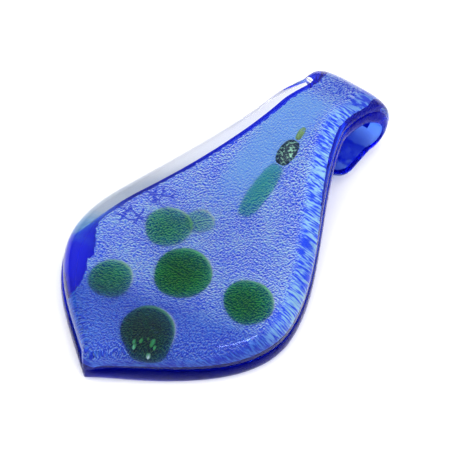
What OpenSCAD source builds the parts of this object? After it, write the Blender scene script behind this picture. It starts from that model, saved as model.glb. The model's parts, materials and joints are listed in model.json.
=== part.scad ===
// Lampworked glass pendant: a domed teardrop whose neck is drawn out and curled under into a bail.
// Origin: middle of the bail's bore.  +X along the bore, -Y towards the teardrop's point, +Z up.

/* [Outline] */
// Distance from the bail axis to the teardrop's point
tip_reach = 54.6; // [48:0.2:68]
// Distance from the bail axis to the widest place of the belly
belly_reach = 34.6; // [31:0.2:42]
// Width of the belly
belly_w = 34.8; // [28:0.2:44]
// Width of the little rounded nub at the point
nub_w = 1.2; // [0.8:0.1:2]
// Width of the drawn strip where the bail starts
strip_w = 11.4; // [9:0.1:13.6]
// Width of the strip half way round the bail
bail_w = 12.8; // [9:0.1:14.2]
// How far the point leans to the left of the belly's middle
tip_lean = 1.9; // [0:0.1:3]
// How far the point's back is lifted off the table
tip_lift = 0.6; // [0:0.1:1.2]
// How far the bail leans to the right of the belly's middle
bail_lean = 2.1; // [0:0.1:2.5]

/* [Thickness] */
// Whole thickness of the belly
belly_t = 7.6; // [6.6:0.1:9.4]
// Whole thickness of the strip where the bail starts
strip_t = 3.8; // [3.2:0.1:4.6]
// Thickness of the tail that is curled under
tail_t = 2.2; // [1.8:0.1:2.7]
// Thickness of the cobalt glass under the belly
base_belly_t = 3.1; // [2.4:0.1:3.7]
// Thickness of the cobalt glass in the strip
base_strip_t = 2.5; // [1.3:0.1:2.8]
// Thickness of the cobalt glass in the tail
base_tail_t = 1.2; // [0.9:0.1:1.5]
// Thickness of the silver leaf and the glass that it is fused into
leaf_t = 0.08; // [0.05:0.01:0.15]

/* [Edges] */
// How far the cobalt glass stands out below the clear glass at the front
front_lip = 0.8; // [0.3:0.05:1.2]
// How far it stands out along the sides
side_lip = 0.3; // [0.15:0.05:0.5]
// Drop of the cobalt glass's top face at its edge
edge_roll = 0.7; // [0.3:0.05:0.8]
// Rounding of the lower edge
under_round = 0.7; // [0.4:0.05:1]
// Width of the clear glass beside the cobalt glass on the left of the neck
clear_rim_w = 2.7; // [1:0.1:3.4]
// Distance from the leaf's edge to the edge of the cobalt glass
leaf_margin = 0.45; // [0.3:0.05:0.8]
// Bare cobalt glass at the left shoulder, where the leaf stops short
bare_patch_w = 4.2; // [0:0.1:5]
// Width of the cobalt glass left bare along the neck's left side
bare_edge_w = 0.25; // [0:0.05:1]
// Width of the clear glass left bare at the bend's right end
bare_bend_w = 1.4; // [0:0.1:2]

/* [Bail] */
// Diameter of the bail's bore
bore_d = 4.6; // [3.9:0.1:5.6]
// Length of the tail that runs back under the neck
tail_l = 8; // [6.5:0.1:10]
// Distance from the belly's widest place to where the underside starts to rise
rise_start = 5.5; // [3:0.1:8]

/* [Inclusions] */
// Diameter of the green dot on the left
dot_left_d = 6; // [4:0.1:7]
// Diameter of the green dot in the middle
dot_centre_d = 8.1; // [6:0.1:9]
// Diameter of the green dot on the right
dot_right_d = 6.7; // [5:0.1:8]
// Diameter of the upper green dot
dot_upper_d = 6.6; // [5:0.1:7.4]
// Diameter of the pale green chip melted against the upper dot
dot_pale_d = 4.2; // [3:0.1:5]
// Diameter of the green dot at the front
dot_lower_d = 7.4; // [5:0.1:8]
// Height of a dot as a share of its diameter
dot_rise = 0.24; // [0.15:0.01:0.26]
// Width of the teal streak on the neck
streak_w = 3.1; // [1.5:0.1:3.6]
// Length of the teal streak
streak_l = 8.9; // [7:0.1:12]
// Width of the dark aventurine chip
chip_w = 2.6; // [1.8:0.1:3.4]
// Length of the aventurine chip
chip_l = 4; // [2.5:0.1:4.4]
// Width of the yellow-green wisp
wisp_w = 0.9; // [0.5:0.1:1.4]
// Length of the wisp
wisp_l = 2; // [1:0.1:2.4]
// Height of the streak, the chip and the wisp
inlay_t = 0.6; // [0.3:0.05:0.8]
// Where the streak begins, to the right of the middle line
streak_x = 1.4; // [0.4:0.1:2.4]
// Where the wisp ends, to the right of the bail's middle
wisp_x = 1.1; // [0:0.1:2]

/* [Fits] */
// Gap between an inclusion and the pocket of clear glass around it
fuse_gap = 0.02; // [0.01:0.005:0.05]
// Gap between the tail and the surface that the pendant lies on
tail_gap = 0.15; // [0.05:0.05:0.4]

/* [Hidden] */
$fn = 48;

// Glass left inside the curl and then bored away, so the bore is a true cylinder.
bore_stock = 0.15;
bend_r = bore_d / 2 - bore_stock;
axis_h = tail_t + tail_gap + bend_r;
neck_h = axis_h + bend_r;

belly_y = -belly_reach;
rise_y = belly_y + rise_start;
nose_l = tip_reach - belly_reach;
bend_l = PI * bend_r;
tail_end = bend_l + tail_l;

// Fullness of the nose's outline, the neck's outline, the dome and the cobalt glass's edge.
nose_full = 2.2;
nose_sharp = 1.2;
neck_full = 1.75;
neck_sharp = 2.05;
dome_belly = 3.2;
dome_strip = 3;
crown_full = 2.6;
roll_power = 6;

function unit(v) = min(1, max(0, v));
function ease(v) = let (u = unit(v)) u * u * (3 - 2 * u);
function mix(a, b, v) = a + (b - a) * v;
function arch(v) = sqrt(max(0, 1 - v * v));
function swell(v, full) = pow(max(0, 1 - pow(abs(v), full)), 1 / full);
function span(a, b, n) = [for (i = [0 : n - 1]) mix(a, b, i / n)];
function flip(list) = [for (i = [len(list) - 1 : -1 : 0]) list[i]];

// q is the place along the pendant. Below 0 it is the y of the body and the neck, from 0 to
// bend_l it is the way round the bail, and above bend_l the way back along the tail.
function nose(q) = unit((q + tip_reach) / nose_l);
function neck(q) = unit((q - belly_y) / -belly_y);
function bend(q) = unit(q / bend_l);
function tail(q) = unit((q - bend_l) / tail_l);
function nub(q) = arch(1 - unit((q + tip_reach) / nub_w));

// Half width of the outline.
end_round = 3.4;
end_cut = 0.97;
function nose_half(q) = nub_w / 2 * nub(q)
    + (belly_w - nub_w) / 2 * pow(1 - pow(1 - nose(q), nose_full), nose_sharp);
function neck_half(q) = mix(strip_w, belly_w, pow(1 - pow(neck(q), neck_full), neck_sharp)) / 2;
function tail_round(q) = arch(end_cut * unit((q - tail_end + end_round) / end_round));
function half_w(q) = q < belly_y ? nose_half(q)
    : q < 0 ? neck_half(q)
    : mix(strip_w, bail_w, sin(180 * bend(q))) / 2 * tail_round(q);

// Sideways lean of the middle line.
lean_from = -5;
tip_power = 1.3;
function lean(q) = -bail_lean * (1 - ease((q - lean_from) / (bend_l / 2 - lean_from)))
    - tip_lean * pow(1 - nose(q), tip_power);

// Thickness of the whole pendant, and of the cobalt glass in the middle and at the edge. Over the
// last of the way to the point the cobalt glass thins and its back leaves the table.
tip_run = 7;
tip_thin = 0.5;
function tipward(q) = pow(1 - unit((q + tip_reach) / tip_run), 2);
tip_share = 0.3;
end_share = 0.4;
thin_from = 2.2;
thin_share = 0.1;
strip_roll = 0.4;
function nose_t(q) = mix(tip_share * belly_t, belly_t, swell(1 - nose(q), crown_full));
function total_t(q) = q < 0 ? mix(nose_t(q), strip_t, ease(neck(q))) * mix(0.5, 1, nub(q))
    : mix(mix(strip_t, tail_t, ease(bend(q))), end_share * tail_t, pow(tail(q), 3));
function base_t(q) = q < 0
    ? min(mix(base_belly_t, base_strip_t, ease(neck(q))) * mix(1, tip_thin, tipward(q)), 0.8 * total_t(q))
    : mix(base_strip_t, base_tail_t, bend(q))
        * mix(1, thin_share, ease((q - tail_end + thin_from) / thin_from));
function roll(q) = min(edge_roll * ease(1.5 * nose(q)) * mix(1, strip_roll, ease(neck(q))),
    0.35 * base_t(q));
function side_t(q) = base_t(q) - roll(q);
function lip(q) = min(mix(front_lip, side_lip, ease(nose(q))), 0.3 * half_w(q), 0.5 * side_t(q));
function under(q) = min(under_round, 0.4 * half_w(q), 0.8 * side_t(q));

// Width of the clear rim. It starts round at the shoulder, thins, and ends round past the crest.
rim_from = belly_y - 6;
rim_to = bend_l / 2;
rim_least = 0.2;
rim_start = 0.26;
rim_end = 0.9;
rim_thins = 0.5;
function rim(q) = q < rim_from || q > rim_to ? 0
    : let (v = (q - rim_from) / (rim_to - rim_from))
        rim_least + clear_rim_w * min(arch(1 - unit(v / rim_start)), 1 - rim_thins * ease((v - 0.3) / 0.7))
            * arch(unit((v - rim_end) / (1 - rim_end)));

// Half widths of the clear glass, of the cobalt glass's left side, and of the leaf.
patch_reach = 8;
patch_y = belly_y - 0.37 * nose_l;
function case_half(q) = half_w(q) - lip(q);
function base_left(q) = case_half(q) - rim(q);
function margin(q) = min(leaf_margin, 0.25 * case_half(q));
function patch(q) = bare_patch_w * ease(1 - abs(q - patch_y) / patch_reach);
function bare_edge(q) = bare_edge_w * ease(2 * neck(q) - 0.4) * (1 - bend(q));
function leaf_left(q) = base_left(q) - margin(q) - patch(q) - bare_edge(q);
function leaf_right(q) = case_half(q) - 2 * margin(q)
    - min(bare_bend_w * ease(3 * bend(q)), 0.3 * case_half(q));

// Height of the cobalt glass's top face, x across from the middle line.
function face_t(q, x) = base_t(q)
    - roll(q) * pow(abs(x) / (x > 0 ? case_half(q) : base_left(q)), roll_power);

// The point that lies x across from the middle line and n out from the inner line.
function rise(q) = neck_h * ease((q - rise_y) / -rise_y) - axis_h + tip_lift * tipward(q);
function place(q, x, n) = q < 0 ? [x + lean(q), q, rise(q) + n]
    : q < bend_l ? let (a = 180 * bend(q)) [x + lean(q), (bend_r + n) * sin(a), (bend_r + n) * cos(a)]
    : [x + lean(q), bend_l - q, -bend_r - n];

// The y that is a share of the way from the widest place to the bail, or below 0 to the point.
function along(v) = v < 0 ? belly_y + v * nose_l : belly_y * (1 - v);

// The streak, the chip and the wisp follow one line along the neck: [from, to, width, end share].
inlay_gap = 0.3;
streak_from = along(0.345);
chip_from = streak_from + streak_l + inlay_gap;
wisp_from = chip_from + chip_l + inlay_gap;
streak = [streak_from, streak_from + streak_l, streak_w, 0.4];
chip = [chip_from, chip_from + chip_l, chip_w, 0.35];
wisp = [wisp_from, wisp_from + wisp_l, wisp_w, 0.4];
function within(q, inlay) = q > inlay[0] - 0.001 && q < inlay[1] + 0.001;
function inlay_at(q) = within(q, streak) ? streak : within(q, chip) ? chip : within(q, wisp) ? wisp : [];
function bulge(q, inlay) = mix(inlay[3], 1, arch(2 * (q - inlay[0]) / (inlay[1] - inlay[0]) - 1));
function inlay_half(q) = let (it = inlay_at(q)) len(it) > 0 ? it[2] / 2 * bulge(q, it) : wisp_w / 2;
function inlay_high(q) = let (it = inlay_at(q)) len(it) > 0 ? inlay_t * bulge(q, it) : 0;
function inlay_x(q) = mix(streak_x, wisp_x, unit((q - streak[0]) / (wisp[1] - streak[0])));

// Places of the rings, closest together where the shape turns fastest.
first_gap = 0.06;
nose_q = [for (i = [0 : 13]) -tip_reach + first_gap + (nose_l - first_gap) * pow(i / 14, 1.55)];
rim_q = [for (v = [0, 0.15, 0.45, 1]) mix(rim_from, belly_y, v)];
streak_q = concat(span(streak[0], streak[1], 6), [streak[1]]);
chip_q = concat(span(chip[0], chip[1], 4), [chip[1]]);
wisp_q = concat(span(wisp[0], wisp[1], 2), [wisp[1]]);
neck_q = concat(rim_q, span(belly_y, streak[0], 5), streak_q, chip_q,
    wisp_q, span(wisp[1], 0, 4));
bend_q = span(0, bend_l, 12);
tail_q = [for (v = [0, 0.25, 0.5, 0.7, 0.84, 0.93, 1]) mix(bend_l, tail_end, v)];
drawn_q = concat([for (q = nose_q) if (q < rim_from - 0.4) q], neck_q, bend_q, tail_q);
all_q = [for (i = [0 : len(drawn_q) - 1]) if (i == 0 || drawn_q[i] > drawn_q[i - 1] + 0.001) drawn_q[i]];
leaf_from = -tip_reach + 1.2;
leaf_to = 0.7 * bend_l;
function part_q(a, b) = [for (q = all_q) if (q > a - 0.001 && q < b + 0.001) q];

// Columns across the leaf. The middle ones hold whatever is inlaid there.
side_cols = [0, 0.14, 0.42, 0.75];
inlay_cols = [-1, -0.5, 0, 0.5, 1];
function inlay_mid(q) = min(max(inlay_x(q), -0.4 * leaf_left(q)), 0.4 * leaf_right(q));
function inlay_reach(q) = min(inlay_half(q), 0.3 * leaf_left(q));
function columns(q) = let (c = inlay_mid(q), h = inlay_reach(q)) concat(
    [for (v = side_cols) mix(-leaf_left(q), c - h, v)],
    [for (v = inlay_cols) c + v * h],
    [for (v = flip(side_cols)) mix(leaf_right(q), c + h, v)]);
function face(q, x, n) = [x, face_t(q, x) + n];

// Side of the cobalt glass from its underside to its top edge, as [way in, height].
function side_curve(q) = concat(
    [for (a = [0, 30, 60, 90]) [under(q) * (1 - sin(a)), side_t(q) / 2 * (1 - cos(a))]],
    [for (a = [30, 60, 90]) [lip(q) * (1 - cos(a)), side_t(q) / 2 * (1 + sin(a))]]);
function right_side(q) = [for (p = side_curve(q)) [half_w(q) - p[0], p[1]]];
function left_side(q, inset) = [for (p = flip(side_curve(q))) [p[0] + inset - half_w(q), p[1]]];

// Sections, each a loop of [x, n] that runs counter-clockwise as seen from the teardrop's point.
function base_ring(q) = concat(right_side(q), [for (x = flip(columns(q))) face(q, x, 0)],
    left_side(q, rim(q)));
function leaf_ring(q) = concat([for (x = columns(q)) face(q, x, 0)],
    [for (x = flip(columns(q))) face(q, x, leaf_t)]);
function rim_ring(q) = concat(left_side(q, 0), flip(left_side(q, rim(q))));
function inlay_rise(q, x) = let (v = (x - inlay_mid(q)) / inlay_reach(q))
    abs(v) < 0.99 ? inlay_high(q) * (1 - v * v) : 0;
function inlay_ring(q) = let (c = inlay_mid(q), h = inlay_reach(q)) concat(
    [for (v = [-1, 1]) face(q, c + v * h, leaf_t + fuse_gap)],
    [for (v = [0.5, 0, -0.5]) face(q, c + v * h, leaf_t + fuse_gap + inlay_rise(q, c + v * h))]);
dome_sides = 14;
step_in = 0.02;
function dome_point(q, a) = let (n = mix(dome_belly, dome_strip, neck(q)))
    [case_half(q) * sign(cos(a)) * pow(abs(cos(a)), 2 / n),
     mix(side_t(q), total_t(q), pow(abs(sin(a)), 2 / n))];
function case_ring(q) = let (l = columns(q)[0], r = leaf_right(q), has = inlay_high(q) > 0 ? 1 : 0)
    concat([for (i = [0 : dome_sides]) dome_point(q, 180 * i / dome_sides)],
        [mix([-base_left(q), side_t(q)], face(q, l, 0), 0.1), face(q, l - step_in, 0)],
        [for (x = columns(q)) face(q, x, leaf_t + (1 + has) * fuse_gap + inlay_rise(q, x))],
        [face(q, r + step_in, 0)]);

// Skin over a row of rings. Each square is split the same way whichever piece it belongs to.
module sweep(stations, rings) {
    n = len(rings[0]);
    last = len(rings) - 1;
    points = [for (k = [0 : last]) for (p = rings[k]) place(stations[k], p[0], p[1])];
    sides = [for (k = [0 : last - 1]) for (j = [0 : n - 1])
        let (m = (j + 1) % n, a = k * n, b = a + n, turn = [1, 0.37] * (rings[k][m] - rings[k][j]))
        each (turn > 0 ? [[a + j, b + m, b + j], [a + j, a + m, b + m]]
            : [[a + j, a + m, b + j], [a + m, b + m, b + j]])];
    start_cap = [for (j = [n - 1 : -1 : 0]) j];
    end_cap = [for (j = [0 : n - 1]) last * n + j];
    polyhedron(points, concat([start_cap, end_cap], sides));
}

module cobalt_base() {
    color([0.02, 0.08, 0.75]) difference() {
        sweep(all_q, [for (q = all_q) base_ring(q)]);
        rotate([0, 90, 0]) cylinder(h = 2 * bail_w, d = bore_d, center = true);
    }
}

module silver_leaf() {
    leaf_q = part_q(leaf_from, leaf_to);
    color([0.62, 0.72, 1]) sweep(leaf_q, [for (q = leaf_q) leaf_ring(q)]);
}

module clear_casing() {
    color([0.85, 0.92, 1, 0.35]) difference() {
        sweep(all_q, [for (q = all_q) case_ring(q)]);
        for (d = dots) seated(d) dot_form(d[2], fuse_gap, pocket_deep);
    }
}

module clear_rim() {
    rim_rings = part_q(rim_from, rim_to);
    color([0.8, 0.88, 0.95, 0.5]) sweep(rim_rings, [for (q = rim_rings) rim_ring(q)]);
}

// Green dots: [x, y, diameter]. Each is a low round lens that is melted onto the leaf.
function dot_at(across, way, d) = [lean(along(way)) + across * belly_w / 2, along(way), d];
dot_left = dot_at(-0.37, -0.355, dot_left_d);
dot_centre = dot_at(0.03, -0.04, dot_centre_d);
dot_right = dot_at(0.585, 0.02, dot_right_d);
dot_upper = dot_at(-0.335, 0.125, dot_upper_d);
dot_pale = dot_at(-0.17, 0.22, dot_pale_d);
dot_lower = dot_at(0.17, -0.54, dot_lower_d);
dots = [dot_left, dot_centre, dot_right, dot_upper, dot_pale, dot_lower];
pocket_deep = 0.4;

// Highest place of the leaf under a dot.
function leaf_z(x, y) = place(y, x, face_t(y, x - lean(y)) + leaf_t)[2];
function seat_z(d) = 2 * fuse_gap + max([for (a = [0 : 30 : 330]) for (r = [0, d[2] / 2])
    leaf_z(d[0] + r * cos(a), d[1] + r * sin(a))]);

module seated(d) {
    translate([d[0], d[1], seat_z(d)]) children();
}

module dot_form(d, grow, deep) {
    r = d / 2 + grow;
    h = d * dot_rise + grow;
    rim_h = 0.2 * h;
    rotate_extrude() polygon(concat([[0, -deep], [r, -deep]],
        [for (a = [0 : 15 : 90]) [r * cos(a), rim_h + (h - rim_h) * sin(a)]]));
}

// A dot is cut where the ones before it in the list are melted in.
module cut_dot(i) {
    difference() {
        seated(dots[i]) dot_form(dots[i][2], 0, 0);
        for (j = [0 : 1 : i - 1]) seated(dots[j]) dot_form(dots[j][2], fuse_gap, pocket_deep);
    }
}

module green_dot_left() {
    color([0.1, 0.42, 0.22]) cut_dot(0);
}

module green_dot_centre() {
    color([0.1, 0.42, 0.22]) cut_dot(1);
}

module green_dot_right() {
    color([0.1, 0.42, 0.22]) cut_dot(2);
}

module green_dot_upper() {
    color([0.1, 0.42, 0.22]) cut_dot(3);
}

module green_dot_pale() {
    color([0.45, 0.68, 0.4]) cut_dot(4);
}

module green_dot_lower() {
    color([0.1, 0.42, 0.22]) cut_dot(5);
}

module inlay(it) {
    rows = part_q(it[0], it[1]);
    sweep(rows, [for (q = rows) inlay_ring(q)]);
}

module teal_streak() {
    color([0.28, 0.6, 0.7]) inlay(streak);
}

module aventurine_chip() {
    color([0.06, 0.22, 0.3]) inlay(chip);
}

module green_wisp() {
    color([0.6, 0.8, 0.4]) inlay(wisp);
}

cobalt_base();
silver_leaf();
clear_casing();
clear_rim();
green_dot_left();
green_dot_centre();
green_dot_right();
green_dot_upper();
green_dot_pale();
green_dot_lower();
teal_streak();
aventurine_chip();
green_wisp();
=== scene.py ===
"""Glass teardrop pendant: the looks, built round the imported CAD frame.

The glass pieces are rebuilt as smooth high-resolution skins on the same sweep as the CAD solids.
Lengths in the design part are millimetres, and skin() turns them into metres.
"""
import json
import math
import random

import bpy
import numpy as np
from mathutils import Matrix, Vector, noise


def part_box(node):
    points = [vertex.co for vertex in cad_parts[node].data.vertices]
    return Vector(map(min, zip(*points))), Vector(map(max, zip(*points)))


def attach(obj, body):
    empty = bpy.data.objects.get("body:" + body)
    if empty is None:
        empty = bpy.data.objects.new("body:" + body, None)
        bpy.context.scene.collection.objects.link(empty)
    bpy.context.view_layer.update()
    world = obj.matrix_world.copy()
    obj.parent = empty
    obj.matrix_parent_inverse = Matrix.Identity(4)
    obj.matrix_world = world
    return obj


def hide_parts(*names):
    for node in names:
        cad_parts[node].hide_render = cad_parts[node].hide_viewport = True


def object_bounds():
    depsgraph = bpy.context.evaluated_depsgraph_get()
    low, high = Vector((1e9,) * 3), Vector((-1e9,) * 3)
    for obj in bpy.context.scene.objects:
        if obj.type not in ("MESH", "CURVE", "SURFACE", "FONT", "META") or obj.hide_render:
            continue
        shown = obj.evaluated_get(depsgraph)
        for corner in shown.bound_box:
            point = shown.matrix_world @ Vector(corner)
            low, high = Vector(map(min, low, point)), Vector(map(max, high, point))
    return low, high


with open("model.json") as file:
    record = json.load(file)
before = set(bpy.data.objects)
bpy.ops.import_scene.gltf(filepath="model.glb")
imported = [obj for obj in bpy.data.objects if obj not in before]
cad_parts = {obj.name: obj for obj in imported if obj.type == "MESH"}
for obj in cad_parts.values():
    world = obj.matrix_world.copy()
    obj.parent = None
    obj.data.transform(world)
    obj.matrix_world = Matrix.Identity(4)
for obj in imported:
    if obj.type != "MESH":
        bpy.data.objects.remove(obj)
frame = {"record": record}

cad_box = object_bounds()
MM = 0.001


def box_mm(node):
    low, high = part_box(node)
    return Vector(low) / MM, Vector(high) / MM


# ---------------------------------------------------------------- sizes, from the frame
base_low, base_high = box_mm("cobalt_base")
case_high = box_mm("clear_casing")[1]
bail_r = frame["record"]["mounts"][0]["dims"]["r_mm"]
TIP_REACH = -base_low.y
BELLY_W = (cad_box[1][0] - cad_box[0][0]) / MM
AXIS_H = -base_low.z
BELLY_REACH = 34.6
NUB_W = 1.2
TIP_LIFT = 0.6
STRIP_W = 11.4
BAIL_W = 12.8
TIP_LEAN = 1.9
BAIL_LEAN = 2.1
BELLY_T = 7.6
TAIL_GAP = 0.15
BORE_CLEARANCE = 0.15
BEND_R = bail_r - BORE_CLEARANCE
TAIL_T = AXIS_H - TAIL_GAP - BEND_R
STRIP_T = case_high.z - BEND_R
BASE_BELLY_T = 3.1
BASE_STRIP_T = 2.5
BASE_TAIL_T = 1.2
FRONT_LIP = 0.8
SIDE_LIP = 0.3
EDGE_ROLL = 0.7
UNDER_ROUND = 0.7
CLEAR_RIM_W = 2.7
LEAF_MARGIN = 0.45
TAIL_L = 8.0
RISE_START = 5.5
TIP_RUN = 7
TIP_THIN = 0.5
STRIP_ROLL = 0.4
DOME_BELLY = 3.2
DOME_STRIP = 3.0
LEAN_FROM = -5
BARE_PATCH_W = 4.2
PATCH_REACH = 8
BARE_EDGE_W = 0.25
BARE_BEND_W = 1.4
INLAY_T = 0.6

BELLY_Y = -BELLY_REACH
RISE_Y = BELLY_Y + RISE_START
NOSE_L = TIP_REACH - BELLY_REACH
BEND_L = math.pi * BEND_R
TAIL_END = BEND_L + TAIL_L
NECK_H = AXIS_H + BEND_R


# ---------------------------------------------------------------- small maths
def unit(v):
    return min(1.0, max(0.0, v))


def ease(v):
    u = unit(v)
    return u * u * (3 - 2 * u)


def mix(a, b, v):
    return a + (b - a) * v


def arch(v):
    return math.sqrt(max(0.0, 1 - v * v))


def swell(v, full):
    return max(0.0, 1 - abs(v) ** full) ** (1 / full)


def span(a, b, n):
    return [mix(a, b, i / n) for i in range(n + 1)]


# ---------------------------------------------------------------- laws of the sweep
# q is the place along the pendant. Below 0 it is the y of the body and the neck, from 0 to BEND_L
# it is the way round the bail, and above BEND_L the way back along the tail.
def nose(q):
    return unit((q + TIP_REACH) / NOSE_L)


def neck(q):
    return unit((q - BELLY_Y) / -BELLY_Y)


def bend(q):
    return unit(q / BEND_L)


def tail(q):
    return unit((q - BEND_L) / TAIL_L)


def nub(q):
    return arch(1 - unit((q + TIP_REACH) / NUB_W))


def tipward(q):
    return (1 - unit((q + TIP_REACH) / TIP_RUN)) ** 2


def half_w(q):
    if q < BELLY_Y:
        return NUB_W / 2 * nub(q) + (BELLY_W - NUB_W) / 2 * (1 - (1 - nose(q)) ** 2.2) ** 1.2
    if q < 0:
        return mix(STRIP_W, BELLY_W, (1 - neck(q) ** 1.75) ** 2.05) / 2
    end = arch(0.97 * unit((q - TAIL_END + 3.4) / 3.4))
    return mix(STRIP_W, BAIL_W, math.sin(math.pi * bend(q))) / 2 * end


def lean(q):
    return (-BAIL_LEAN * (1 - ease((q - LEAN_FROM) / (BEND_L / 2 - LEAN_FROM)))
            - TIP_LEAN * (1 - nose(q)) ** 1.3)


def total_t(q):
    if q < 0:
        nose_t = mix(0.3 * BELLY_T, BELLY_T, swell(1 - nose(q), 2.6))
        return mix(nose_t, STRIP_T, ease(neck(q))) * mix(0.5, 1, nub(q))
    return mix(mix(STRIP_T, TAIL_T, ease(bend(q))), 0.4 * TAIL_T, tail(q) ** 3)


def base_t(q):
    if q < 0:
        thin = mix(1, TIP_THIN, tipward(q))
        return min(mix(BASE_BELLY_T, BASE_STRIP_T, ease(neck(q))) * thin, 0.8 * total_t(q))
    return mix(BASE_STRIP_T, BASE_TAIL_T, bend(q)) * mix(1, 0.1, ease((q - TAIL_END + 2.2) / 2.2))


def roll(q):
    return min(EDGE_ROLL * ease(1.5 * nose(q)) * mix(1, STRIP_ROLL, ease(neck(q))), 0.35 * base_t(q))


def side_t(q):
    return base_t(q) - roll(q)


def lip(q):
    return min(mix(FRONT_LIP, SIDE_LIP, ease(nose(q))), 0.3 * half_w(q), 0.5 * side_t(q))


def under(q):
    return min(UNDER_ROUND, 0.4 * half_w(q), 0.8 * side_t(q))


RIM_FROM = BELLY_Y - 6
RIM_TO = BEND_L / 2
RIM_LEAST = 0.2
RIM_START = 0.26
RIM_END = 0.9
RIM_THINS = 0.5


def rim(q):
    if q < RIM_FROM or q > RIM_TO:
        return 0.0
    v = (q - RIM_FROM) / (RIM_TO - RIM_FROM)
    width = min(arch(1 - unit(v / RIM_START)), 1 - RIM_THINS * ease((v - 0.3) / 0.7))
    return RIM_LEAST + CLEAR_RIM_W * width * arch(unit((v - RIM_END) / (1 - RIM_END)))


def case_half(q):
    return half_w(q) - lip(q)


def base_left(q):
    return case_half(q) - rim(q)


def margin(q):
    return min(LEAF_MARGIN, 0.25 * case_half(q))


def face_t(q, x):
    side = case_half(q) if x > 0 else base_left(q)
    return base_t(q) - roll(q) * min(1.0, abs(x) / side) ** 6


def rise(q):
    return NECK_H * ease((q - RISE_Y) / -RISE_Y) - AXIS_H + TIP_LIFT * tipward(q)


def place(q, x, n):
    if q < 0:
        return (x + lean(q), q, rise(q) + n)
    if q < BEND_L:
        a = math.pi * bend(q)
        return (x + lean(q), (BEND_R + n) * math.sin(a), (BEND_R + n) * math.cos(a))
    return (x + lean(q), BEND_L - q, -BEND_R - n)


# ---------------------------------------------------------------- rings
NOSE_Q = [-TIP_REACH + 0.03 + (NOSE_L - 0.03) * (i / 60) ** 1.7 for i in range(60)]
NECK_Q = span(BELLY_Y, 0, 110)[:-1]
BEND_Q = span(0, BEND_L, 48)[:-1]
TAIL_Q = [BEND_L + TAIL_L * (1 - (1 - i / 40) ** 1.7) for i in range(41)]
ALL_Q = NOSE_Q + NECK_Q + BEND_Q + TAIL_Q


def side_curve(q, steps=7):
    """Side of the cobalt glass from its underside to its top edge, as (way in, height)."""
    low = [math.pi / 2 * i / steps for i in range(steps + 1)]
    t = side_t(q)
    return ([(under(q) * (1 - math.sin(a)), t / 2 * (1 - math.cos(a))) for a in low]
            + [(lip(q) * (1 - math.cos(a)), t / 2 * (1 + math.sin(a))) for a in low[1:]])


def right_side(q):
    return [(half_w(q) - way, n) for way, n in side_curve(q)]


def left_side(q, inset):
    return [(way + inset - half_w(q), n) for way, n in reversed(side_curve(q))]


FACE_V = [math.sin(math.pi / 2 * (2 * i / 40 - 1)) for i in range(41)]


def face_line(q, lift=0.0):
    """Top face of the cobalt glass from left to right."""
    return [(v * (case_half(q) if v > 0 else base_left(q)),
             face_t(q, v * (case_half(q) if v > 0 else base_left(q))) + lift) for v in FACE_V]


def dome(q, n=72):
    """Outside of the clear casing from its right edge over the top to its left edge."""
    full = mix(DOME_BELLY, DOME_STRIP, neck(q))
    out = []
    for i in range(n + 1):
        c, s = math.cos(math.pi * i / n), math.sin(math.pi * i / n)
        out.append((case_half(q) * math.copysign(abs(c) ** (2 / full), c),
                    mix(side_t(q), total_t(q), abs(s) ** (2 / full))))
    return out


# ---------------------------------------------------------------- meshes
def finish_mesh(name, verts, faces, fused=None, crease=42, face_tint=None):
    mesh = bpy.data.meshes.new(name)
    mesh.from_pydata([Vector(v) * MM for v in verts], [], faces)
    mesh.validate()
    if fused is not None:
        layer = mesh.attributes.new("fused", "FLOAT", "FACE")
        layer.data.foreach_set("value", fused)
    if face_tint is not None:
        layer = mesh.attributes.new("face_tint", "FLOAT_VECTOR", "FACE")
        layer.data.foreach_set("vector", np.array(face_tint, dtype=np.float32).ravel())
    mesh.shade_smooth()
    mesh.set_sharp_from_angle(angle=math.radians(crease))
    obj = bpy.data.objects.new(name, mesh)
    bpy.context.collection.objects.link(obj)
    return obj


def skin(name, stations, sections, crease=42, face_tint_of=None):
    """Skin over a row of closed sections. A section is a list of (x, n, fused) points, where fused
    is 1 when the stretch from this point to the next is melted against another piece."""
    n = len(sections[0])
    verts, faces, fused, face_tint = [], [], [], []
    for q, section in zip(stations, sections):
        verts += [place(q, x, h) for x, h, _ in section]
    for k in range(len(stations) - 1):
        for j in range(n):
            a, b, m = k * n, (k + 1) * n, (j + 1) % n
            faces.append((a + j, b + j, b + m, a + m))
            fused.append(sections[k][j][2])
            face_tint.append(face_tint_of(stations[k], sections[k][j]) if face_tint_of else (1, 1, 1))
    faces.append(tuple(range(n)))
    faces.append(tuple((len(stations) - 1) * n + j for j in reversed(range(n))))
    fused += [0, 0]
    face_tint += [(1, 1, 1)] * 2
    return finish_mesh(name, verts, faces, fused, crease, face_tint)


def marked(points, flag):
    return [(x, h, flag) for x, h in points]


def base_section(q):
    left_flag = 1 if rim(q) > 0 else 0
    top = list(reversed(face_line(q)))[1:-1]
    right = marked(right_side(q), 0)
    right[-1] = (*right[-1][:2], 1)
    left = marked(left_side(q, rim(q)), left_flag)
    left[-1] = (*left[-1][:2], 0)
    return right + marked(top, 1) + left


def case_section(q):
    line = face_line(q)[1:-1]
    outer = marked(dome(q), 0)
    outer[-1] = (*outer[-1][:2], 1)
    corner = mix(base_left(q), case_half(q), 0.02)
    return outer + [(-corner, side_t(q), 1)] + marked(line, 1)


def rim_section(q):
    inner = marked(list(reversed(left_side(q, max(rim(q), 0.02)))), 1)
    outer = marked(left_side(q, 0), 0)
    return inner + outer


def blend3(a, b, v):
    return tuple(mix(x, y, v) for x, y in zip(a, b))


def rim_edge_tint(q, point):
    """Tint of the rim's outer side, teal at the shoulder and blue towards the bail: partly colour in the
    glass's edge, partly painted contact shade.
    """
    if point[2] or point[0] + half_w(q) > 0.26:
        return (1, 1, 1)
    return blend3((0.2, 0.42, 0.45), (0.1, 0.25, 0.85), ease((q + 16) / 10))


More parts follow.
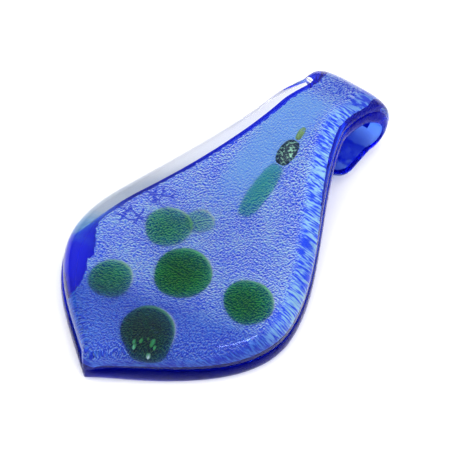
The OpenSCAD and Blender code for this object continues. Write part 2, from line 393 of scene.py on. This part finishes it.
def base_stain(q, point):
    """A dark line along the left edge of the neck, where the cobalt glass meets the clear rim."""
    on_edge = point[2] and point[0] < 0.5 - base_left(q) and rim(q) > 0
    return blend3((1, 1, 1), (0.1, 0.2, 0.8), ease((q + 34) / 6)) if on_edge else (1, 1, 1)


def case_stain(q, point):
    """Tint of the casing's left flank, from the shoulder to the point."""
    if point[2] or point[0] > -0.8 * case_half(q):
        return (1, 1, 1)
    return blend3((1, 1, 1), (0.22, 0.6, 1.0), ease((BELLY_Y + 1 - q) / 4))


base = skin("cobalt_glass", ALL_Q, [base_section(q) for q in ALL_Q], face_tint_of=base_stain)
casing = skin("clear_glass", ALL_Q, [case_section(q) for q in ALL_Q], face_tint_of=case_stain)
RIM_Q = span(RIM_FROM + 0.02, RIM_TO - 0.02, 120)
rim_piece = skin("clear_rim_glass", RIM_Q, [rim_section(q) for q in RIM_Q], face_tint_of=rim_edge_tint)


# ---------------------------------------------------------------- silver leaf
LEAF_TO = 0.7 * BEND_L
LEAF_FROM = -TIP_REACH + 1.2
LEAF_T = 0.07
PATCH_Y = BELLY_Y - 0.37 * NOSE_L
CELL = 0.2


def patch(q):
    return BARE_PATCH_W * ease(1 - abs(q - PATCH_Y) / PATCH_REACH)


def bare_edge(q):
    return BARE_EDGE_W * ease(2 * neck(q) - 0.4) * (1 - bend(q))


def leaf_left(q):
    return base_left(q) - margin(q) - patch(q) - bare_edge(q)


def leaf_right(q):
    return case_half(q) - 2 * margin(q) - min(BARE_BEND_W * ease(3 * bend(q)), 0.3 * case_half(q))


def wobble(x, y, scale, seed):
    return noise.noise(Vector((x * scale, y * scale, seed)))


def front_shade(x, q):
    """How much the leaf darkens, thick under the front of the dome and stippled past the crest."""
    low = 0.95 * ease((-37.0 - q + 0.3 * x) / 6.0)
    crest = 0.6 * ease((q + 3.0) / 3.5)
    return max(low, crest)


def cracked(inset, q):
    """Where the leaf is torn into fissures, a little way in from its left edge."""
    first = ease(1 - abs(q + 31.5) / 3.4) * ease(1 - abs(inset - 2.2) / 3.9)
    second = ease(1 - abs(q + 26.5) / 3.6) * ease(1 - abs(inset - 1.8) / 3.9)
    return max(first, second)


def painted_reflection(x, q):
    """How much painted reflection of the light above makes the leaf smooth and sky blue, in one long patch
    on the neck.
    """
    long_way = ease((q + 25.0) / 9.0) * ease((-q - 0.5) / 3.0)
    across = ease((x + 6.0) / 2.5) * ease((3.5 - x) / 3.0)
    return long_way * across


def bake_modifiers(obj):
    graph = bpy.context.evaluated_depsgraph_get()
    mesh = bpy.data.meshes.new_from_object(obj.evaluated_get(graph))
    obj.modifiers.clear()
    obj.data = mesh


DOT_NODES = ("green_dot_left", "green_dot_centre", "green_dot_right", "green_dot_upper", "green_dot_pale",
             "green_dot_lower")
DOT_SPOTS = []
for dot_node in DOT_NODES:
    dot_low, dot_high = box_mm(dot_node)
    dot_x, dot_y = (dot_low.x + dot_high.x) / 2, (dot_low.y + dot_high.y) / 2
    DOT_SPOTS.append((dot_x, dot_y, (dot_high.x - dot_low.x) / 2))


def dot_glint(x, y):
    """Painted highlight: the pale crescent along each dot's far edge, where the clear glass bends over it.
    """
    most = 0.0
    for cx, cy, r in DOT_SPOTS:
        away = math.hypot(x - cx, y - cy)
        facing = max(0.0, (0.2 * (x - cx) + 0.98 * (y - cy)) / max(away, 0.1))
        most = max(most, ease(1 - abs(away / r - 0.95) / 0.11) * facing ** 1.5)
    return most


def leaf_mesh():
    rows = int((LEAF_TO - LEAF_FROM) / CELL)
    cols = int(BELLY_W / CELL)
    verts, flow, edge, shade_reflection_cracks = [], [], [], []
    for i in range(rows + 1):
        q = mix(LEAF_FROM, LEAF_TO, i / rows)
        left, right = -leaf_left(q), leaf_right(q)
        left += 0.35 * wobble(0, q, 1.6, 3.1) + 0.2 * wobble(0, q, 4.0, 7.7)
        right -= 0.12 * (1 + wobble(0, q, 2.0, 11.3))
        for j in range(cols + 1):
            x = mix(left, right, j / cols)
            relief = 0.04 * wobble(x, q, 1.1, 1.0) + 0.03 * wobble(x, q, 2.6, 5.0)
            verts.append(place(q, x, face_t(q, x) + LEAF_T + relief))
            # Its third value is the painted highlight along the dots' far edges.
            flow.append((x, q, dot_glint(verts[-1][0], verts[-1][1])))
            edge.append((right - x, x - left, 0.0))
            # Painted shade, painted reflection on the neck, and where the leaf is cracked.
            shade_reflection_cracks.append((front_shade(x, q), painted_reflection(x, q), cracked(x - left, q)))
    faces = []
    for i in range(rows):
        for j in range(cols):
            a = i * (cols + 1) + j
            faces.append((a, a + 1, a + cols + 2, a + cols + 1))
    obj = finish_mesh("silver_leaf_sheet", verts, faces, crease=80)
    for name, values in (("flow", flow), ("edge", edge), ("shade_reflection_cracks", shade_reflection_cracks)):
        layer = obj.data.attributes.new(name, "FLOAT_VECTOR", "POINT")
        layer.data.foreach_set("vector", np.array(values, dtype=np.float32).ravel())
    thick = obj.modifiers.new("thick", "SOLIDIFY")
    thick.thickness = LEAF_T * 0.6 * MM
    thick.offset = -1
    bake_modifiers(obj)
    return obj


leaf = leaf_mesh()


# ---------------------------------------------------------------- dots
def seat(x, y):
    q = y
    return rise(q) + face_t(q, x - lean(q))


LENS_FULL = 2.2
FAR_SIDE_THIN = 0.35


def lens_mesh(name, node, seed):
    """A low lens of glass with a slightly uneven outline, melted onto the leaf."""
    low, high = box_mm(node)
    cx, cy = (low.x + high.x) / 2, (low.y + high.y) / 2
    r, h = (high.x - low.x) / 2, high.z - low.z
    rings, sides = 18, 72
    verts, faces = [], []
    rnd = random.Random(seed)
    waves = [(k, rnd.uniform(0.012, 0.035) / (k / 2), rnd.uniform(0, 2 * math.pi)) for k in (2, 3, 4, 5)]

    def outline(a):
        return r * (1 + sum(size * math.sin(k * a + phase) for k, size, phase in waves))

    def spot(a, share):
        return cx + math.cos(a) * outline(a) * share, cy + math.sin(a) * outline(a) * share

    for i in range(rings):
        share = math.cos(math.pi / 2 * i / rings) ** (2 / LENS_FULL)
        up = math.sin(math.pi / 2 * i / rings) ** (2 / LENS_FULL)
        for j in range(sides):
            x, y = spot(2 * math.pi * j / sides, share)
            far = 1 - FAR_SIDE_THIN * share * math.sin(2 * math.pi * j / sides)
            verts.append((x, y, seat(x, y) + LEAF_T + 0.02 + h * up * far))
    top = len(verts)
    verts.append((cx, cy, seat(cx, cy) + LEAF_T + 0.02 + h))
    for i in range(rings - 1):
        for j in range(sides):
            a, b, m = i * sides + j, i * sides + (j + 1) % sides, sides
            faces.append((a, b, b + m, a + m))
    last = (rings - 1) * sides
    for j in range(sides):
        faces.append((last + j, last + (j + 1) % sides, top))
    bottom = len(verts)
    for i in (1, 2):
        for j in range(sides):
            x, y = spot(2 * math.pi * j / sides, 1 - i / 3)
            verts.append((x, y, seat(x, y) + LEAF_T + 0.02))
    verts.append((cx, cy, seat(cx, cy) + LEAF_T + 0.02))
    for j in range(sides):
        m = (j + 1) % sides
        faces.append((m, j, bottom + j, bottom + m))
        faces.append((bottom + m, bottom + j, bottom + sides + j, bottom + sides + m))
        faces.append((bottom + sides + m, bottom + sides + j, bottom + 2 * sides))
    return finish_mesh(name, verts, faces, crease=60)


dots = {node: lens_mesh(node + "_glass", node, seed) for seed, node in enumerate(DOT_NODES, 11)}


def bubble_mesh():
    """Small air bubbles caught in the front dot."""
    low, high = box_mm("green_dot_lower")
    cx, cy = (low.x + high.x) / 2, (low.y + high.y) / 2
    rnd = random.Random(5)
    verts, faces = [], []
    for k in range(9):
        r = rnd.uniform(0.12, 0.3)
        x, y = cx + rnd.uniform(-0.4, 2.4), cy + rnd.uniform(-2.9, -1.0)
        z = seat(x, y) + LEAF_T + 0.35 + r
        first = len(verts)
        for i in range(9):
            for j in range(14):
                a, b = math.pi * i / 8, 2 * math.pi * j / 14
                verts.append((x + r * math.sin(a) * math.cos(b), y + 1.7 * r * math.sin(a) * math.sin(b),
                              z + r * math.cos(a)))
        for i in range(8):
            for j in range(14):
                a, b = first + i * 14 + j, first + i * 14 + (j + 1) % 14
                faces.append((a, a + 14, b + 14, b))
    return finish_mesh("front_bubbles", verts, faces, crease=60)


bubbles = bubble_mesh()


# ---------------------------------------------------------------- inlaid pieces of the neck
STREAK_X, WISP_X = 1.4, 1.1
streak_low, streak_high = box_mm("teal_streak")
chip_low, chip_high = box_mm("aventurine_chip")
wisp_low, wisp_high = box_mm("green_wisp")


def inlay_x(q):
    return mix(STREAK_X, WISP_X, unit((q - streak_low.y) / (wisp_high.y - streak_low.y)))


def inlay_mesh(name, a, b, width, seed, ends=0.4):
    rows, cols = 60, 24
    sections, stations = [], []
    for i in range(rows + 1):
        v = 2 * i / rows - 1
        q = mix(a, b, i / rows)
        bulge = mix(ends, 1, arch(v * 0.995)) if abs(v) < 1 else ends
        half = width / 2 * bulge * (1 + 0.12 * wobble(0, q, 1.2, seed))
        mid = inlay_x(q) + 0.12 * wobble(0, q, 0.7, seed + 4)
        lift = LEAF_T + 0.02
        under_line = [(mid + half * (2 * j / cols - 1), face_t(q, mid) + lift, 1) for j in range(cols + 1)]
        over = []
        for j in range(cols - 1, 0, -1):
            u = 2 * j / cols - 1
            over.append((mid + half * u, face_t(q, mid) + lift + INLAY_T * bulge * swell(u, 2.2), 0))
        stations.append(q)
        sections.append(under_line + over)
    return skin(name, stations, sections, crease=60)


streak = inlay_mesh("teal_streak_glass", streak_low.y, streak_high.y, 3.1, 21.0)
chip = inlay_mesh("aventurine_chip_glass", chip_low.y, chip_high.y, 2.6, 31.0, 0.3)
wisp = inlay_mesh("green_wisp_glass", wisp_low.y, wisp_high.y, 0.9, 41.0)


# ---------------------------------------------------------------- materials
def new_material(name):
    mat = bpy.data.materials.new(name)
    mat.use_nodes = True
    nodes, links = mat.node_tree.nodes, mat.node_tree.links
    nodes.clear()
    out = nodes.new("ShaderNodeOutputMaterial")
    return mat, nodes, links, out


def principled(nodes, **values):
    node = nodes.new("ShaderNodeBsdfPrincipled")
    for key, value in values.items():
        node.inputs[key.replace("_", " ")].default_value = value
    return node


def attribute(nodes, name):
    node = nodes.new("ShaderNodeAttribute")
    node.attribute_name = name
    return node


def math_node(nodes, links, op, a, b=None, clamp=False):
    node = nodes.new("ShaderNodeMath")
    node.operation = op
    node.use_clamp = clamp
    for i, value in enumerate((a, b)):
        if value is None:
            continue
        if isinstance(value, (int, float)):
            node.inputs[i].default_value = value
        else:
            links.new(value, node.inputs[i])
    return node.outputs[0]


def smooth_range(nodes, links, value, low, high):
    node = nodes.new("ShaderNodeMapRange")
    node.interpolation_type = "SMOOTHSTEP"
    node.inputs["From Min"].default_value = low
    node.inputs["From Max"].default_value = high
    links.new(value, node.inputs["Value"])
    return node.outputs["Result"]


def mix_colour(nodes, links, factor, a, b):
    node = nodes.new("ShaderNodeMix")
    node.data_type = "RGBA"
    if isinstance(factor, (int, float)):
        node.inputs[0].default_value = factor
    else:
        links.new(factor, node.inputs[0])
    for socket, value in ((node.inputs[6], a), (node.inputs[7], b)):
        if isinstance(value, tuple):
            socket.default_value = (*value, 1)
        else:
            links.new(value, socket)
    return node.outputs[2]


def mix_value(nodes, links, factor, a, b, most=1.0):
    """a where the factor is 0, and up to most of the way to b where it is 1."""
    share = math_node(nodes, links, "MULTIPLY", factor, most)
    gap = math_node(nodes, links, "SUBTRACT", b, a)
    return math_node(nodes, links, "ADD", a, math_node(nodes, links, "MULTIPLY", share, gap))


def noise_value(nodes, links, vector, scale, detail=3.0, rough=0.55, warp=0.0, stretch=(1, 1, 1)):
    mapping = nodes.new("ShaderNodeMapping")
    mapping.inputs["Scale"].default_value = stretch
    links.new(vector, mapping.inputs["Vector"])
    node = nodes.new("ShaderNodeTexNoise")
    node.inputs["Scale"].default_value = scale
    node.inputs["Detail"].default_value = detail
    node.inputs["Roughness"].default_value = rough
    node.inputs["Distortion"].default_value = warp
    links.new(mapping.outputs[0], node.inputs["Vector"])
    return node.outputs["Fac"]


def absorb_in(nodes, links, out, colour, density):
    volume = nodes.new("ShaderNodeVolumeAbsorption")
    volume.inputs["Color"].default_value = (*colour, 1)
    volume.inputs["Density"].default_value = density
    links.new(volume.outputs[0], out.inputs["Volume"])


def fused_glass(name, absorb, density, gloss=(1, 1, 1, 1)):
    """Clear or coloured glass. Where a face is melted against its neighbour it doesn't refract."""
    mat, nodes, links, out = new_material(name)
    glass = principled(nodes, Roughness=0.0, IOR=1.5, Transmission_Weight=1.0, Specular_Tint=gloss)
    ripple = nodes.new("ShaderNodeBump")
    ripple.inputs["Strength"].default_value = 0.08
    ripple.inputs["Distance"].default_value = 0.0004
    coords = nodes.new("ShaderNodeTexCoord")
    links.new(noise_value(nodes, links, coords.outputs["Object"], 160.0, 2.0), ripple.inputs["Height"])
    links.new(ripple.outputs[0], glass.inputs["Normal"])
    face_tint = attribute(nodes, "face_tint").outputs["Vector"]
    links.new(face_tint, glass.inputs["Base Color"])
    clear = nodes.new("ShaderNodeBsdfTransparent")
    links.new(face_tint, clear.inputs["Color"])
    blend = nodes.new("ShaderNodeMixShader")
    links.new(attribute(nodes, "fused").outputs["Fac"], blend.inputs[0])
    links.new(glass.outputs[0], blend.inputs[1])
    links.new(clear.outputs[0], blend.inputs[2])
    links.new(blend.outputs[0], out.inputs["Surface"])
    absorb_in(nodes, links, out, absorb, density)
    return mat


def dot_glass(name, absorb, density):
    """Coloured glass inside the clear glass: it barely refracts, and colours what is under it."""
    mat, nodes, links, out = new_material(name)
    glass = principled(nodes, Base_Color=(1, 1, 1, 1), Roughness=0.0, IOR=1.1, Transmission_Weight=1.0)
    links.new(glass.outputs[0], out.inputs["Surface"])
    absorb_in(nodes, links, out, absorb, density)
    return mat


def leaf_material():
    """Crackled leaf: pale flecks on blue, finer streaks along the right edge, torn seams, a smooth sky
    blue stretch on the neck painted as a reflection, painted shade towards the front, a painted highlight
    and painted shade on the two sides of each grain, and painted highlights along the dots' far edges."""
    mat, nodes, links, out = new_material("silver_leaf")
    flow_and_glint = attribute(nodes, "flow").outputs["Vector"]
    flat = nodes.new("ShaderNodeVectorMath")
    flat.operation = "MULTIPLY"
    flat.inputs[1].default_value = (1.0, 1.0, 0.0)
    links.new(flow_and_glint, flat.inputs[0])
    flow = flat.outputs[0]
    glint = nodes.new("ShaderNodeSeparateXYZ")
    links.new(flow_and_glint, glint.inputs[0])
    edge = nodes.new("ShaderNodeSeparateXYZ")
    links.new(attribute(nodes, "edge").outputs["Vector"], edge.inputs[0])
    shade_reflection_cracks = nodes.new("ShaderNodeSeparateXYZ")
    links.new(attribute(nodes, "shade_reflection_cracks").outputs["Vector"], shade_reflection_cracks.inputs[0])
    # X is the painted shade, Y the painted reflection on the neck, Z where the leaf is cracked.
    dark, reflection = shade_reflection_cracks.outputs["X"], shade_reflection_cracks.outputs["Y"]
    grain = (4.4, 2.0, 0.6, 0.5, (1.25, 0.85, 1))
    fine = noise_value(nodes, links, flow, *grain)
    streaks = noise_value(nodes, links, flow, 1.4, 3.0, 0.5, 0.3, (0.5, 2.6, 1))
    at_rim = smooth_range(nodes, links, edge.outputs["X"], 3.0, 1.4)
    pattern = mix_value(nodes, links, at_rim, fine, streaks)
    broad = noise_value(nodes, links, flow, 0.22, 2.0, 0.5)
    drift = math_node(nodes, links, "MULTIPLY", math_node(nodes, links, "SUBTRACT", broad, 0.5), 0.25)
    shifted = math_node(nodes, links, "ADD", pattern, drift)
    fleck = smooth_range(nodes, links, shifted, 0.42, 0.6)
    soft = mix_value(nodes, links, reflection, fleck, 0.55, 0.7)
    cells = nodes.new("ShaderNodeTexVoronoi")
    cells.feature = "DISTANCE_TO_EDGE"
    cells.inputs["Scale"].default_value = 0.55
    warp = nodes.new("ShaderNodeVectorMath")
    warp.operation = "ADD"
    bend_noise = nodes.new("ShaderNodeTexNoise")
    bend_noise.inputs["Scale"].default_value = 1.1
    links.new(flow, bend_noise.inputs["Vector"])
    links.new(flow, warp.inputs[0])
    links.new(bend_noise.outputs["Color"], warp.inputs[1])
    links.new(warp.outputs[0], cells.inputs["Vector"])
    seam = smooth_range(nodes, links, cells.outputs["Distance"], 0.1, 0.05)
    seam = math_node(nodes, links, "MULTIPLY", seam,
                     smooth_range(nodes, links, shade_reflection_cracks.outputs["Z"], 0.25, 0.7))
    soft = mix_value(nodes, links, seam, soft, 0.0)
    # Painted reflection: the neck patch is tinted sky blue.
    sheen = math_node(nodes, links, "MULTIPLY", reflection, 0.6)
    # Both colours darken where the painted shade falls.
    blue = mix_colour(nodes, links, dark, (0.01, 0.09, 1.0), (0.003, 0.035, 0.6))
    pale = mix_colour(nodes, links, dark, (0.42, 0.74, 1.0), (0.05, 0.2, 0.78))
    colour = mix_colour(nodes, links, soft, blue, pale)
    colour = mix_colour(nodes, links, sheen, colour, (0.22, 0.56, 1.0))
    # Painted light on the grain: a highlight on one side of each grain and shade on the other, set for one
    # light direction.
    beside = nodes.new("ShaderNodeVectorMath")
    beside.operation = "ADD"
    beside.inputs[1].default_value = (-0.08, 0.12, 0.0)
    links.new(flow, beside.inputs[0])
    next_fine = noise_value(nodes, links, beside.outputs[0], *grain)
    slope = math_node(nodes, links, "SUBTRACT", fine, next_fine)
    calm = math_node(nodes, links, "MAXIMUM", math_node(nodes, links, "MULTIPLY", dark, 0.75),
                     math_node(nodes, links, "MULTIPLY", reflection, 0.6))
    lively = math_node(nodes, links, "SUBTRACT", 1.0, math_node(nodes, links, "MAXIMUM", calm, at_rim))
    lit = math_node(nodes, links, "MULTIPLY", smooth_range(nodes, links, slope, 0.05, 0.12), lively)
    shaded_side = math_node(nodes, links, "MULTIPLY", smooth_range(nodes, links, slope, -0.02, -0.1), lively)
    # Paint in the grains' shaded sides and highlights, the seams, and the highlights along the dots' far
    # edges.
    for cover, most, paint in ((shaded_side, 0.95, (0.002, 0.035, 0.8)), (lit, 0.85, (0.9, 0.98, 1.0)),
                               (seam, 0.65, (0.004, 0.04, 0.75)),
                               (glint.outputs["Z"], 0.85, (0.95, 1.0, 0.95))):
        share = math_node(nodes, links, "MULTIPLY", cover, most)
        colour = mix_colour(nodes, links, share, colour, paint)
    shader = principled(nodes, Roughness=0.42, Metallic=0.35)
    links.new(colour, shader.inputs["Base Color"])
    bump = nodes.new("ShaderNodeBump")
    bump.inputs["Strength"].default_value = 0.8
    bump.inputs["Distance"].default_value = 0.0003
    links.new(pattern, bump.inputs["Height"])
    links.new(bump.outputs[0], shader.inputs["Normal"])
    links.new(shader.outputs[0], out.inputs["Surface"])
    return mat


def chip_material():
    mat, nodes, links, out = new_material("aventurine")
    coords = nodes.new("ShaderNodeTexCoord").outputs["Object"]
    spots = noise_value(nodes, links, coords, 2600.0, 2.0, 0.6)
    glitter = smooth_range(nodes, links, spots, 0.52, 0.62)
    colour = mix_colour(nodes, links, glitter, (0.006, 0.03, 0.05), (0.25, 0.5, 0.35))
    shader = principled(nodes, Roughness=0.3, Metallic=0.4)
    links.new(colour, shader.inputs["Base Color"])
    links.new(shader.outputs[0], out.inputs["Surface"])
    return mat


def veil_material(name, colour, cover):
    """A thin haze of coloured glass that half hides the leaf under it."""
    mat, nodes, links, out = new_material(name)
    coords = nodes.new("ShaderNodeTexCoord").outputs["Object"]
    grain = smooth_range(nodes, links, noise_value(nodes, links, coords, 1800.0, 2.0), 0.3, 0.7)
    shader = principled(nodes, Roughness=0.5)
    dim = tuple(0.75 * c for c in colour)
    links.new(mix_colour(nodes, links, grain, dim, colour), shader.inputs["Base Color"])
    clear = nodes.new("ShaderNodeBsdfTransparent")
    blend = nodes.new("ShaderNodeMixShader")
    blend.inputs[0].default_value = cover
    links.new(clear.outputs[0], blend.inputs[1])
    links.new(shader.outputs[0], blend.inputs[2])
    links.new(blend.outputs[0], out.inputs["Surface"])
    return mat


def dress(obj, mat, node):
    obj.data.materials.clear()
    obj.data.materials.append(mat)
    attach(obj, "root")
    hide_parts(node)


clear_mat = fused_glass("clear_glass", (0.55, 0.72, 0.86), 40.0, (0.35, 0.42, 0.65, 1))
rim_mat = fused_glass("clear_rim_glass", (0.3, 0.5, 0.7), 20.0)
cobalt_mat = fused_glass("cobalt_glass", (0.1, 0.45, 0.993), 1300.0, (0.02, 0.06, 0.6, 1))
dress(base, cobalt_mat, "cobalt_base")
dress(casing, clear_mat, "clear_casing")
dress(rim_piece, rim_mat, "clear_rim")
dress(leaf, leaf_material(), "silver_leaf")
pale_mat = dot_glass("pale_green_glass", (0.4, 0.9, 0.45), 600.0)
STRENGTH = {"green_dot_left": 850.0, "green_dot_centre": 1150.0, "green_dot_right": 1150.0,
            "green_dot_upper": 650.0, "green_dot_lower": 1300.0}
for node, piece in dots.items():
    if node == "green_dot_pale":
        dress(piece, pale_mat, node)
    else:
        green = (0.0, 0.8, 0.25) if node != "green_dot_lower" else (0.0, 0.72, 0.3)
        dress(piece, dot_glass(node + "_tint", green, STRENGTH[node]), node)
dress(bubbles, veil_material("bubble", (0.6, 0.85, 0.85), 0.8), "green_dot_lower")
dress(streak, dot_glass("teal_glass", (0.1, 0.9, 0.55), 1500.0), "teal_streak")
dress(chip, chip_material(), "aventurine_chip")
dress(wisp, veil_material("yellow_green_glass", (0.4, 0.65, 0.15), 0.5), "green_wisp")


# ---------------------------------------------------------------- stage, light and camera
def stage_floor():
    half = 1.5
    z = cad_box[0][2] - 0.00005
    corners = [(-half, -half, z), (half, -half, z), (half, half, z), (-half, half, z)]
    mesh = bpy.data.meshes.new("floor")
    mesh.from_pydata(corners, [], [(0, 1, 2, 3)])
    floor = bpy.data.objects.new("floor", mesh)
    bpy.context.collection.objects.link(floor)
    mat, nodes, links, out = new_material("floor")
    shader = principled(nodes, Base_Color=(0.93, 0.93, 0.94, 1), Roughness=0.7)
    links.new(shader.outputs[0], out.inputs["Surface"])
    mesh.materials.append(mat)


def area_light(name, where, look_at, size, power):
    data = bpy.data.lights.new(name, "AREA")
    data.shape = "RECTANGLE"
    data.size, data.size_y = size
    data.energy = power
    light = bpy.data.objects.new(name, data)
    light.location = where
    light.rotation_euler = (Vector(look_at) - Vector(where)).to_track_quat("-Z", "Y").to_euler()
    bpy.context.collection.objects.link(light)


stage_floor()
centre = (Vector(cad_box[0]) + Vector(cad_box[1])) / 2
area_light("softbox", centre + Vector((0.46, -0.12, 0.43)), centre, (0.3, 0.06), 0.7)


def studio_world():
    """White surroundings, dimmer near the horizon, with a wide soft glow overhead."""
    world = bpy.data.worlds.new("studio")
    bpy.context.scene.world = world
    world.use_nodes = True
    nodes, links = world.node_tree.nodes, world.node_tree.links
    direction = nodes.new("ShaderNodeTexCoord").outputs["Generated"]
    parts = nodes.new("ShaderNodeSeparateXYZ")
    links.new(direction, parts.inputs[0])
    sky = smooth_range(nodes, links, parts.outputs["Z"], -0.1, 0.5)

    def toward(way, low, high):
        aim = nodes.new("ShaderNodeVectorMath")
        aim.operation = "DOT_PRODUCT"
        aim.inputs[1].default_value = Vector(way).normalized()
        links.new(direction, aim.inputs[0])
        return smooth_range(nodes, links, aim.outputs["Value"], low, high)

    glow = toward((-0.36, -0.1, 0.93), math.cos(math.radians(32)), math.cos(math.radians(14)))
    side = toward((0.85, -0.5, 0.05), 0.0, 0.9)
    level = math_node(nodes, links, "ADD", math_node(nodes, links, "MULTIPLY", sky, 0.8), 0.3)
    level = math_node(nodes, links, "ADD", level, math_node(nodes, links, "MULTIPLY", glow, 0.5))
    level = math_node(nodes, links, "ADD", level, math_node(nodes, links, "MULTIPLY", side, 0.5))
    back = nodes["Background"]
    back.inputs["Color"].default_value = (1, 1, 1, 1)
    links.new(level, back.inputs["Strength"])


studio_world()

ELEVATION, AZIMUTH = math.radians(53), math.radians(36)
DISTANCE = 0.3088
LENS = 175.9
target = Vector((-0.0027, -0.0241, cad_box[0][2] + 0.0029))
back = Vector((math.sin(AZIMUTH) * math.cos(ELEVATION), -math.cos(AZIMUTH) * math.cos(ELEVATION),
               math.sin(ELEVATION)))
cam_data = bpy.data.cameras.new("camera")
cam_data.lens = LENS
cam_data.sensor_width = 36
cam_data.clip_start = 0.01
camera = bpy.data.objects.new("camera", cam_data)
camera.location = target + back * DISTANCE
camera.rotation_euler = back.to_track_quat("Z", "Y").to_euler()
bpy.context.collection.objects.link(camera)
bpy.context.scene.camera = camera

scene = bpy.context.scene
scene.view_settings.view_transform = "Standard"
scene.view_settings.look = "Medium High Contrast"
scene.cycles.max_bounces = 24
scene.cycles.transmission_bounces = 16
scene.cycles.transparent_max_bounces = 32
scene.cycles.diffuse_bounces = 6
scene.cycles.glossy_bounces = 8
